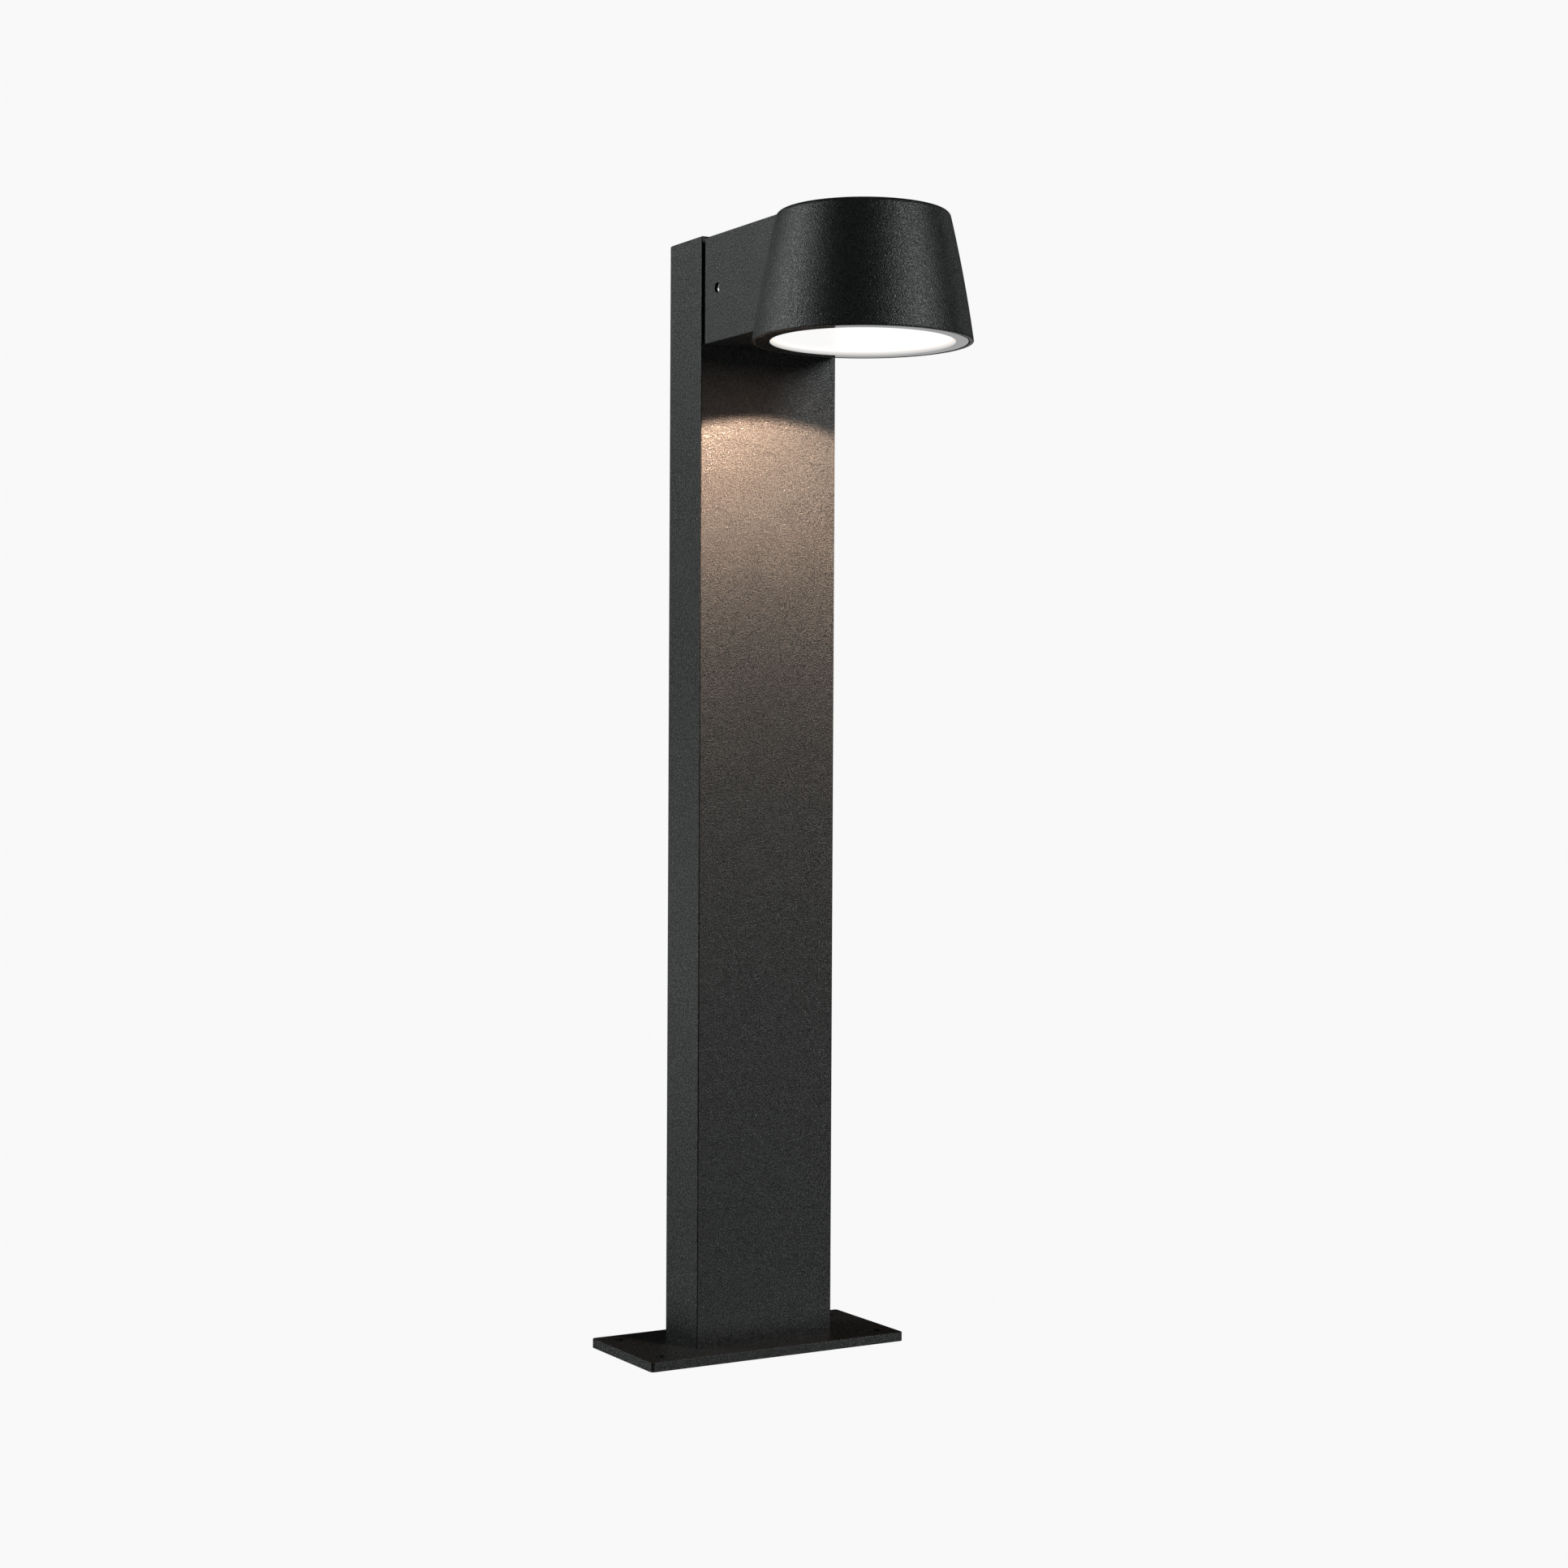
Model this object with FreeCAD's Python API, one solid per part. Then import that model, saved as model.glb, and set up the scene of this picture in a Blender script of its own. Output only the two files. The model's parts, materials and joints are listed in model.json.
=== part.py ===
import FreeCAD, Part
import math
import os

# Bollard light: a rectangular post on a steel plate, with an arm and a round downlight head.
#
# Millimetres, +Z up. The origin is the centre of the base plate's underside. The post's wide
# faces look along Y, and the arm and head stand out of its front, towards -Y.

Vector = FreeCAD.Vector
RIGHT = Vector(1, 0, 0)
BACK = Vector(0, 1, 0)
UP = Vector(0, 0, 1)

# ---------------------------------------------------------------- driving dimensions

HEIGHT = 600.0              # ground to the top of post and head

# base plate
PLATE_X = 157.0
PLATE_Y = 70.0
PLATE_T = 5.0
PLATE_CORNER_R = 2.0
PLATE_EDGE_R = 0.4
GROUND_HOLE_R = 3.0
GROUND_HOLE_MARGIN = 11.5   # hole centre to the plate's edges
CABLE_HOLE_R = 10.0
CABLE_SEAT_R = 14.0
CABLE_SEAT_T = 1.5
CABLE_ENTRY_R = 6.0         # the base grommet's bore
BASE_SCREW_L = 18.0
BASE_SCREW_DEPTH = 0.1      # head's top above the plate's underside

# post: an extruded tube with a screw channel in each inner corner
POST_X = 84.3
POST_Y = 35.4
POST_WALL = 2.2
POST_EDGE_R = 0.8
CAP_T = 2.5
CAP_EDGE_R = 1.5
SPIGOT_L = 8.0
SPIGOT_WALL = 2.0
CHANNEL_R = 4.0
CHANNEL_HOLE_R = 2.5
CHANNEL_MERGE = 0.8         # how far a channel's outside runs into the walls

# arm and head: one hollow casting
GAP = 2.5                   # shadow gap between post and arm
ARM_X = 83.0
ARM_BOTTOM = 541.8
ARM_TOP = 598.3
ARM_WALL = 3.0
ARM_EDGE_R = 0.6
HEAD_REACH = 112.0          # post's centre to the head's axis
HEAD_BOTTOM = 534.4
HEAD_BOTTOM_R = 56.8
HEAD_TOP_R = 44.3
HEAD_BULGE = 0.75           # how far the head's side stands out of a straight cone
HEAD_TOP_EDGE_R = 3.0
RIM_EDGE_R = 0.5
HEAD_WALL = 2.5
ROOF_T = 3.0

# cover in the head's underside
COVER_RECESS = 0.1
COVER_T = 3.0
COVER_R = 54.25
COVER_EDGE_R = 0.4
WINDOW_R = 47.6             # the lit window inside the cover's black border
WINDOW_DEPTH = 1.8          # the window's face above the border's
POCKET_R = 54.7             # the pocket that the cover and its seal lie in
LEDGE_R = 51.5              # the ledge above them
SEAL_T = 1.15
SEAL_INSET = 0.7            # the seal's lower edge above the cover's face

# light source: carrier plate, pad, board and chips, from the top down
CARRIER_R = 47.8
CARRIER_T = 2.5
CARRIER_TOP = 567.1
PAD_T = 0.5
BOARD_R = 33.0
BOARD_T = 1.6
CHIP = (3.5, 2.8, 0.7)
CHIP_RINGS = ((6, 11.0), (12, 22.0))    # chips on the ring, ring radius
PILLAR_R = 4.0
PILLAR_OFFSET = 28.0        # from the head's axis, along X and along Y
CARRIER_SCREW_R = 1.9
CARRIER_SCREW_L = 10.0
BOARD_SCREW_R = 1.4
BOARD_SCREW_L = 4.4
BOARD_SCREW_RING = 29.0
LEAD_HOLE_OFFSET = 30.0     # from the head's axis towards the post
LEAD_HOLE_R = 3.8
REFLECTOR_T = 1.2
REFLECTOR_FOOT_T = 1.5      # its foot ring, which stands on the cover

# driver
DRIVER_X = 60.0
DRIVER_Y = 36.0
DRIVER_Z = 20.0
DRIVER_REAR = -96.0
DRIVER_CORNER_R = 3.0

# bracket between post and arm
BRACKET_T = 2.0
BRACKET_X = 68.0
BRACKET_REACH = 27.5        # post's front to the flange's end
BRACKET_CLEAR_Z = 1.5       # to the arm's floor and ceiling
BRACKET_SCREW_X = 22.0
BRACKET_SCREW_Z = (560.0, 584.0)
CABLE_PASS_Z = 572.0
CABLE_PASS_R = 9.0
PASS_GROMMET_BORE_R = 4.5

# rivet nuts and their screws
NUT_BORE_R = 2.0
NUT_R = 3.0
NUT_HEAD_R = 4.0
NUT_HEAD_T = 1.0
NUT_L = 9.5
BRACKET_SCREW_L = 9.0

# grub screws through the arm's sides
GRUB_R = 2.5
GRUB_L = 6.0
GRUB_SOCKET_WIDTH = 2.5     # across flats
GRUB_SOCKET_DEPTH = 2.4
GRUB_Y = -33.6
GRUB_Z = (ARM_BOTTOM + ARM_TOP) / 2
GRUB_HOLE_R = 2.55
GRUB_ACCESS_R = 2.75
GRUB_BOSS_R = 5.5
GRUB_BOSS_GAP = 0.3         # boss to bracket flange

# terminal block: three poles side by side, clamp screws towards the post
BLOCK_X = 32.0
BLOCK_Y = 14.0
BLOCK_Z = 20.0
BLOCK_BACK = -56.0          # the face that lies on its cast pad
BLOCK_BOTTOM = 557.0
BLOCK_EDGE_R = 1.0
POLE_PITCH = 10.0
POLE_R = 2.6
POLE_DEPTH = 5.0            # pole's axis in front of the pad
CLAMP_Z = 5.5               # clamp screws above and below the block's middle
CLAMP_R = 1.4
CLAMP_L = 5.0
CLAMP_ROOM = 0.6            # round a clamp screw, for the screwdriver
INSERT_L = 16.0
WIRE_HOLE_R = 0.8           # the wire's way into an insert
BLOCK_SCREW_R = 1.45
BLOCK_SCREW_GRIP = 4.5      # the screw's length in its pad
FIXING_WELL_R = 2.8
FIXING_WELL_DEPTH = 4.0
TERMINAL_PAD_T = 6.0        # the cast pad behind the block
TERMINAL_PAD_BELOW = 8.0
TERMINAL_PAD_ABOVE = 3.0

# earth point under the arm's ceiling
EARTH_X = 26.0
EARTH_Y = -70.0
EARTH_Z = 590.3
EARTH_BOSS_R = 4.5
EARTH_SCREW_R = 1.95
EARTH_SCREW_L = 7.0
TAG_T = 0.8
TAG_R = 4.0
EARTH_BARREL_R = 1.5
EARTH_BARREL_L = 4.0

# leads
LEAD_D = 1.8
LEAD_TOP_Z = 591.0          # where the supply leads pass over the block's pad
LIVE_DRIVER_X = -20.0       # where each lead enters the driver's rear face
NEUTRAL_DRIVER_X = -13.0
SUPPLY_ENTRY_Z = 11.4       # above the driver's underside
SUPPLY_ENTRY_RUN = 12.0     # straight run before the driver
LED_LEAD_D = 1.6
LED_LEAD_X = 1.4
LED_EXIT_Z = 8.4

# screw heads, as multiples of the thread's radius
PAN_HEAD = 1.8
PAN_HEIGHT = 1.25
SUNK_HEAD = 1.9
SUNK_RIM = 0.4              # mm of straight edge on a countersunk head
SCREW_END = 0.5             # mm of chamfer on a screw's end

# clearances
FIT = 0.05                  # between fitted parts
SCREW_PLAY = 0.25           # round a screw's shank in a plain hole
PAST = 1.0                  # how far a cutting tool reaches past the face it cuts

# ---------------------------------------------------------------- sizes that follow

POST_FRONT = -POST_Y / 2
POST_TOP = HEIGHT - CAP_T
ARM_REAR = POST_FRONT - GAP
ARM_IN_X = ARM_X / 2 - ARM_WALL
ARM_FLOOR = ARM_BOTTOM + ARM_WALL
ARM_CEILING = ARM_TOP - ARM_WALL
HEAD = Vector(0, -HEAD_REACH, 0)
TAPER = (HEAD_BOTTOM_R - HEAD_TOP_R) / (HEIGHT - HEAD_BOTTOM)
ROOF = HEIGHT - ROOF_T
COVER_BOTTOM = HEAD_BOTTOM + COVER_RECESS
COVER_TOP = COVER_BOTTOM + COVER_T
LEDGE_Z = COVER_TOP + SEAL_T + FIT
CARRIER_BOTTOM = CARRIER_TOP - CARRIER_T
BOARD_TOP = CARRIER_BOTTOM - PAD_T
BOARD_BOTTOM = BOARD_TOP - BOARD_T
DRIVER_BOTTOM = CARRIER_TOP + PAD_T
BRACKET_FRONT = POST_FRONT - BRACKET_T
BLOCK_FRONT = BLOCK_BACK + BLOCK_Y
BLOCK_TOP = BLOCK_BOTTOM + BLOCK_Z
BLOCK_MIDDLE = BLOCK_BOTTOM + BLOCK_Z / 2
POLE_Y = BLOCK_BACK + POLE_DEPTH
BASE_SCREW_R = CHANNEL_HOLE_R - FIT


def head_inner_radius(z):
    """The radius of the head's inside, a plain cone, at height z."""
    return HEAD_TOP_R + (HEIGHT - z) * TAPER - HEAD_WALL


# ---------------------------------------------------------------- shapes


def corner_arc(before, corner, after, radius):
    """The arc that rounds a corner, as its start, middle and end."""
    back = (before - corner).normalize()
    on = (after - corner).normalize()
    half_angle = back.getAngle(on) / 2
    reach = radius / math.tan(half_angle)
    inward = (back + on).normalize()
    centre = corner + inward * (radius / math.sin(half_angle))
    return corner + back * reach, centre - inward * radius, corner + on * reach


def rounded_wire(corners, closed=True):
    """A wire through (point, radius) corners, with an arc wherever the radius isn't 0."""
    count = len(corners)
    arcs = []
    for i, (corner, radius) in enumerate(corners):
        if radius and (closed or 0 < i < count - 1):
            arcs.append(corner_arc(corners[i - 1][0], corner, corners[(i + 1) % count][0], radius))
        else:
            arcs.append((corner, corner, corner))
    edges = []
    for i, (start, middle, end) in enumerate(arcs):
        if start.distanceToPoint(end) > 1e-6:
            edges.append(Part.Arc(start, middle, end).toShape())
        if closed or i < count - 1:
            edges.append(Part.makeLine(end, arcs[(i + 1) % count][0]))
    return Part.Wire(edges)


def block(low, high):
    """A plain box between two corners."""
    return Part.makeBox(high[0] - low[0], high[1] - low[1], high[2] - low[2], Vector(*low))


def slab(size_x, size_y, corner_r, bottom, top, centre=(0, 0)):
    """A rectangle with rounded corners, extruded upwards."""
    x, y = size_x / 2, size_y / 2
    corners = []
    for side_x, side_y in ((-1, -1), (1, -1), (1, 1), (-1, 1)):
        corners.append((Vector(centre[0] + side_x * x, centre[1] + side_y * y, bottom), corner_r))
    return Part.Face(rounded_wire(corners)).extrude(Vector(0, 0, top - bottom))


def turned(profile, origin=Vector(), direction=UP):
    """A solid of revolution: (radius, height) or (radius, height, corner radius) points."""
    corners = []
    for radius, height, *corner_r in profile:
        corners.append((Vector(radius, 0, height), corner_r[0] if corner_r else 0))
    solid = Part.Face(rounded_wire(corners)).revolve(Vector(), UP, 360)
    solid.Placement = FreeCAD.Placement(origin, FreeCAD.Rotation(UP, direction))
    return solid


def bar(radius, start, direction, length):
    """A cylinder from start along direction."""
    return Part.makeCylinder(radius, length, start, direction)


def through_hole(radius, start, direction, depth):
    """A cylinder to cut a hole with: it reaches past both ends of depth."""
    return bar(radius, start - direction * PAST, direction, depth + 2 * PAST)


def blind_hole(radius, mouth, direction, depth):
    """A cylinder to cut a hole with: it reaches past the mouth only."""
    return bar(radius, mouth - direction * PAST, direction, depth + PAST)


def hexagon(across_flats, start, direction, length):
    """A hexagonal prism from start along direction."""
    radius = across_flats / math.sqrt(3)
    points = []
    for i in range(7):
        angle = math.radians(60 * i)
        points.append(Vector(radius * math.cos(angle), radius * math.sin(angle), 0))
    prism = Part.Face(Part.makePolygon(points)).extrude(Vector(0, 0, length))
    prism.Placement = FreeCAD.Placement(start, FreeCAD.Rotation(UP, direction))
    return prism


def mirrored(x, y):
    """The four places (+-x, +-y)."""
    return [(side_x * x, side_y * y) for side_x in (-1, 1) for side_y in (-1, 1)]


def group(shapes):
    """Separate solids that share one node."""
    return Part.makeCompound(shapes)


# ---------------------------------------------------------------- fasteners


def pan_head_screw(seat, direction, thread_r, length):
    """A pan-head screw with its head's underside at seat and its shank along direction."""
    head_r = thread_r * PAN_HEAD
    head_h = thread_r * PAN_HEIGHT
    screw = turned(
        [
            (0, -head_h),
            (head_r, -head_h, head_h * 0.6),
            (head_r, 0),
            (thread_r, 0),
            (thread_r, length - SCREW_END),
            (thread_r - SCREW_END, length),
            (0, length),
        ],
        seat,
        direction,
    )
    socket_start = seat - direction * (head_h + PAST)
    return screw.cut(hexagon(thread_r * 1.2, socket_start, direction, PAST + head_h * 0.7))


def countersunk_screw(seat, direction, thread_r, length):
    """A countersunk screw with its flat top at seat and its shank along direction."""
    head_r = thread_r * SUNK_HEAD
    cone_end = SUNK_RIM + head_r - thread_r
    screw = turned(
        [
            (0, 0),
            (head_r, 0),
            (head_r, SUNK_RIM),
            (thread_r, cone_end),
            (thread_r, length - SCREW_END),
            (thread_r - SCREW_END, length),
            (0, length),
        ],
        seat,
        direction,
    )
    socket_start = seat - direction * PAST
    return screw.cut(hexagon(thread_r * 1.25, socket_start, direction, PAST + thread_r * 0.8))


def grub_screw(side):
    """A grub screw in the arm's side wall; its inner end bears on the bracket's flange."""
    tip = Vector(side * BRACKET_X / 2, GRUB_Y, GRUB_Z)
    outward = RIGHT * side
    chamfer = 0.4
    screw = turned(
        [
            (0, 0),
            (GRUB_R - chamfer, 0),
            (GRUB_R, chamfer),
            (GRUB_R, GRUB_L - chamfer),
            (GRUB_R - chamfer, GRUB_L),
            (0, GRUB_L),
        ],
        tip,
        outward,
    )
    socket_start = tip + outward * (GRUB_L - GRUB_SOCKET_DEPTH)
    return screw.cut(hexagon(GRUB_SOCKET_WIDTH, socket_start, outward, GRUB_SOCKET_DEPTH + PAST))


# ---------------------------------------------------------------- base and post


def ground_holes():
    return mirrored(PLATE_X / 2 - GROUND_HOLE_MARGIN, PLATE_Y / 2 - GROUND_HOLE_MARGIN)


def channels():
    inset = POST_WALL + CHANNEL_R - CHANNEL_MERGE
    return mirrored(POST_X / 2 - inset, POST_Y / 2 - inset)


def base_plate():
    plate = slab(PLATE_X, PLATE_Y, PLATE_CORNER_R, 0, PLATE_T)
    top_edges = [e for e in plate.Edges if all(abs(v.Z - PLATE_T) < 1e-6 for v in e.Vertexes)]
    plate = plate.makeFillet(PLATE_EDGE_R, top_edges)
    for x, y in ground_holes():
        plate = plate.cut(through_hole(GROUND_HOLE_R, Vector(x, y, 0), UP, PLATE_T))
    sink_r = BASE_SCREW_R * SUNK_HEAD + SCREW_PLAY
    shank_r = BASE_SCREW_R + SCREW_PLAY
    rim = SUNK_RIM + BASE_SCREW_DEPTH
    for x, y in channels():
        sink = turned(
            [
                (0, -PAST),
                (sink_r, -PAST),
                (sink_r, rim),
                (shank_r, rim + sink_r - shank_r),
                (shank_r, PLATE_T + PAST),
                (0, PLATE_T + PAST),
            ],
            Vector(x, y, 0),
        )
        plate = plate.cut(sink)
    plate = plate.cut(through_hole(CABLE_HOLE_R, Vector(), UP, PLATE_T))
    return plate.cut(blind_hole(CABLE_SEAT_R, Vector(), UP, CABLE_SEAT_T))


def base_screws():
    screws = []
    for x, y in channels():
        seat = Vector(x, y, BASE_SCREW_DEPTH)
        screws.append(countersunk_screw(seat, UP, BASE_SCREW_R, BASE_SCREW_L))
    return group(screws)


def base_grommet():
    """The cable's way in: a rubber grommet, flush with the plate's underside."""
    neck_r = CABLE_HOLE_R - FIT
    flange_r = CABLE_SEAT_R - FIT
    top_flange_r = flange_r - 1
    top = PLATE_T + CABLE_SEAT_T
    return turned(
        [
            (CABLE_ENTRY_R, 0),
            (flange_r, 0),
            (flange_r, CABLE_SEAT_T),
            (neck_r, CABLE_SEAT_T),
            (neck_r, PLATE_T),
            (top_flange_r, PLATE_T),
            (top_flange_r, top),
            (CABLE_ENTRY_R, top),
        ]
    )


def post():
    tube = slab(POST_X, POST_Y, POST_EDGE_R, PLATE_T, POST_TOP)
    inside_x, inside_y = POST_X - 2 * POST_WALL, POST_Y - 2 * POST_WALL
    tube = tube.cut(slab(inside_x, inside_y, 0.5, PLATE_T - PAST, POST_TOP + PAST))
    length = POST_TOP - PLATE_T
    for x, y in channels():
        tube = tube.fuse(bar(CHANNEL_R, Vector(x, y, PLATE_T), UP, length))
    for x, y in channels():
        tube = tube.cut(through_hole(CHANNEL_HOLE_R, Vector(x, y, PLATE_T), UP, length))
    for x, z in bracket_screw_places():
        tube = tube.cut(rivet_nut_space(Vector(x, POST_FRONT, z)))
    cable_pass = Vector(0, POST_FRONT, CABLE_PASS_Z)
    return tube.cut(through_hole(CABLE_PASS_R, cable_pass, BACK, POST_WALL)).removeSplitter()


def post_cap():
    """A plate with rounded upper edges, and a hollow spigot between the screw channels."""
    low = (-POST_X / 2, -POST_Y / 2, POST_TOP)
    high = (POST_X / 2, POST_Y / 2, HEIGHT)
    plan = slab(POST_X, POST_Y, POST_EDGE_R, POST_TOP, HEIGHT)
    front = [
        (Vector(low[0], low[1], low[2]), 0),
        (Vector(high[0], low[1], low[2]), 0),
        (Vector(high[0], low[1], high[2]), CAP_EDGE_R),
        (Vector(low[0], low[1], high[2]), CAP_EDGE_R),
    ]
    side = [
        (Vector(low[0], low[1], low[2]), 0),
        (Vector(low[0], high[1], low[2]), 0),
        (Vector(low[0], high[1], high[2]), CAP_EDGE_R),
        (Vector(low[0], low[1], high[2]), CAP_EDGE_R),
    ]
    cap = plan.common(Part.Face(rounded_wire(front)).extrude(BACK * POST_Y))
    cap = cap.common(Part.Face(rounded_wire(side)).extrude(RIGHT * POST_X))
    spigot_x = 2 * (channels()[-1][0] - CHANNEL_R - SPIGOT_WALL)
    spigot_y = POST_Y - 2 * POST_WALL - 4 * FIT
    inner_x, inner_y = spigot_x - 2 * SPIGOT_WALL, spigot_y - 2 * SPIGOT_WALL
    spigot = slab(spigot_x, spigot_y, 1.0, POST_TOP - SPIGOT_L, POST_TOP)
    hollow = slab(inner_x, inner_y, 1.0, POST_TOP - SPIGOT_L - PAST, POST_TOP)
    return cap.fuse(spigot.cut(hollow)).removeSplitter()


# ---------------------------------------------------------------- bracket between post and arm


def bracket_screw_places():
    return [(side * BRACKET_SCREW_X, z) for side in (-1, 1) for z in BRACKET_SCREW_Z]


def rivet_nut_space(mouth):
    """The countersunk hole for a rivet nut, from the post's front."""
    return turned(
        [
            (0, -PAST),
            (NUT_HEAD_R + FIT, -PAST),
            (NUT_HEAD_R + FIT, 0),
            (NUT_R + FIT, NUT_HEAD_T),
            (NUT_R + FIT, POST_WALL + PAST),
            (0, POST_WALL + PAST),
        ],
        mouth,
        BACK,
    )


def rivet_nuts():
    """Threaded inserts, flush with the post's front and upset behind its wall."""
    nuts = []
    upset_r = 4.5
    upset_end = POST_WALL + 2.0
    for x, z in bracket_screw_places():
        nut = turned(
            [
                (NUT_BORE_R, 0),
                (NUT_HEAD_R, 0),
                (NUT_R, NUT_HEAD_T),
                (NUT_R, POST_WALL),
                (upset_r, POST_WALL),
                (upset_r, upset_end),
                (NUT_R, upset_end + 0.4),
                (NUT_R, NUT_L),
                (NUT_BORE_R, NUT_L),
            ],
            Vector(x, POST_FRONT, z),
            BACK,
        )
        nuts.append(nut)
    return group(nuts)


def mounting_bracket():
    """A bent steel U: its back on the post's front, its flanges inside the arm."""
    x = BRACKET_X / 2
    tip = POST_FRONT - BRACKET_REACH
    bottom = ARM_FLOOR + BRACKET_CLEAR_Z
    height = ARM_CEILING - BRACKET_CLEAR_Z - bottom
    inner_x = x - BRACKET_T
    outline = [
        (Vector(-x, tip, bottom), 0),
        (Vector(-x, POST_FRONT, bottom), BRACKET_T + 0.5),
        (Vector(x, POST_FRONT, bottom), BRACKET_T + 0.5),
        (Vector(x, tip, bottom), 0),
        (Vector(inner_x, tip, bottom), 0),
        (Vector(inner_x, BRACKET_FRONT, bottom), 0.5),
        (Vector(-inner_x, BRACKET_FRONT, bottom), 0.5),
        (Vector(-inner_x, tip, bottom), 0),
    ]
    bracket = Part.Face(rounded_wire(outline)).extrude(UP * height)
    for place_x, z in bracket_screw_places():
        hole = through_hole(NUT_BORE_R + SCREW_PLAY, Vector(place_x, BRACKET_FRONT, z), BACK, BRACKET_T)
        bracket = bracket.cut(hole)
    cable_pass = Vector(0, BRACKET_FRONT, CABLE_PASS_Z)
    return bracket.cut(through_hole(CABLE_PASS_R, cable_pass, BACK, BRACKET_T))


def bracket_screws():
    screws = []
    for x, z in bracket_screw_places():
        seat = Vector(x, BRACKET_FRONT, z)
        screws.append(pan_head_screw(seat, BACK, NUT_BORE_R - FIT, BRACKET_SCREW_L))
    return group(screws)


def post_grommet():
    """The grommet that lines the cable's way through bracket and post wall."""
    flange_r = CABLE_PASS_R + 2.3
    flange_t = 1.5
    neck_r = CABLE_PASS_R - FIT
    front = BRACKET_FRONT - flange_t
    neck_end = flange_t + BRACKET_T + POST_WALL
    return turned(
        [
            (PASS_GROMMET_BORE_R, 0),
            (flange_r, 0),
            (flange_r, flange_t),
            (neck_r, flange_t),
            (neck_r, neck_end),
            (flange_r, neck_end),
            (flange_r, neck_end + flange_t),
            (PASS_GROMMET_BORE_R, neck_end + flange_t),
        ],
        Vector(0, front, CABLE_PASS_Z),
        BACK,
    )


def rear_gasket():
    """A frame of black foam rubber that fills the shadow gap behind the arm's rim."""
    outer_inset = 1.5
    outer_x = ARM_X / 2 - outer_inset
    outer_low = (-outer_x, ARM_REAR, ARM_BOTTOM + outer_inset)
    outer_high = (outer_x, POST_FRONT, ARM_TOP - outer_inset)
    inner_x = BRACKET_X / 2 + 1.5
    inner_low = (-inner_x, ARM_REAR - PAST, ARM_FLOOR + 1.0)
    inner_high = (inner_x, POST_FRONT + PAST, ARM_CEILING - 1.0)
    return block(outer_low, outer_high).cut(block(inner_low, inner_high))


# ---------------------------------------------------------------- arm and head


def head_outside():
    """The head's outer form: a cone whose side bulges a little."""
    rim = Vector(HEAD_BOTTOM_R, 0, HEAD_BOTTOM)
    top = Vector(HEAD_TOP_R, 0, HEIGHT)
    outward = (top - rim).cross(-BACK).normalize()
    bulge = (rim + top) / 2 + outward * HEAD_BULGE
    low_centre, high_centre = Vector(0, 0, HEAD_BOTTOM), Vector(0, 0, HEIGHT)
    profile = [
        Part.makeLine(low_centre, rim),
        Part.Arc(rim, bulge, top).toShape(),
        Part.makeLine(top, high_centre),
        Part.makeLine(high_centre, low_centre),
    ]
    head = Part.Face(Part.Wire(profile)).revolve(Vector(), UP, 360)
    for height, radius in ((HEAD_BOTTOM, RIM_EDGE_R), (HEIGHT, HEAD_TOP_EDGE_R)):
        edges = [e for e in head.Edges if e.BoundBox.ZLength < FIT and abs(e.BoundBox.ZMin - height) < FIT]
        head = head.makeFillet(radius, edges)
    head.translate(HEAD)
    return head


def arm_outside():
    """The arm's outer form, from its rear edge to the head's axis."""
    x = ARM_X / 2
    end = -HEAD_REACH
    low_z, high_z = ARM_BOTTOM, ARM_TOP
    front = [
        (Vector(-x, end, low_z), ARM_EDGE_R),
        (Vector(x, end, low_z), ARM_EDGE_R),
        (Vector(x, end, high_z), ARM_EDGE_R),
        (Vector(-x, end, high_z), ARM_EDGE_R),
    ]
    plan = [
        (Vector(-x, end, low_z), 0),
        (Vector(x, end, low_z), 0),
        (Vector(x, ARM_REAR, low_z), ARM_EDGE_R),
        (Vector(-x, ARM_REAR, low_z), ARM_EDGE_R),
    ]
    side = [
        (Vector(-x, end, low_z), 0),
        (Vector(-x, ARM_REAR, low_z), ARM_EDGE_R),
        (Vector(-x, ARM_REAR, high_z), ARM_EDGE_R),
        (Vector(-x, end, high_z), 0),
    ]
    arm = Part.Face(rounded_wire(front)).extrude(BACK * (ARM_REAR - end))
    arm = arm.common(Part.Face(rounded_wire(plan)).extrude(UP * (high_z - low_z)))
    return arm.common(Part.Face(rounded_wire(side)).extrude(RIGHT * ARM_X))


def head_inside():
    """The head's inside: pocket for the cover, ledge, light chamber and dome."""
    chamber_top = HEIGHT - (LEDGE_R + HEAD_WALL - HEAD_TOP_R) / TAPER
    return turned(
        [
            (0, HEAD_BOTTOM - PAST),
            (POCKET_R, HEAD_BOTTOM - PAST),
            (POCKET_R, LEDGE_Z),
            (LEDGE_R, LEDGE_Z),
            (LEDGE_R, chamber_top),
            (head_inner_radius(ROOF), ROOF, 1.5),
            (0, ROOF),
        ],
        HEAD,
    )


def arm_inside(head):
    """The arm's inside: it opens into the dome, above the carrier plate only."""
    low = (-ARM_IN_X, -HEAD_REACH, ARM_FLOOR)
    high = (ARM_IN_X, ARM_REAR + PAST, ARM_CEILING)
    below_carrier = block((-POST_X, -2 * HEAD_REACH, 0), (POST_X, 0, CARRIER_TOP))
    return block(low, high).cut(head.common(below_carrier))


def pillar_places():
    return [(x, y - HEAD_REACH) for x, y in mirrored(PILLAR_OFFSET, PILLAR_OFFSET)]


def block_screw_places():
    return (-POLE_PITCH / 2, POLE_PITCH / 2)


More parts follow.
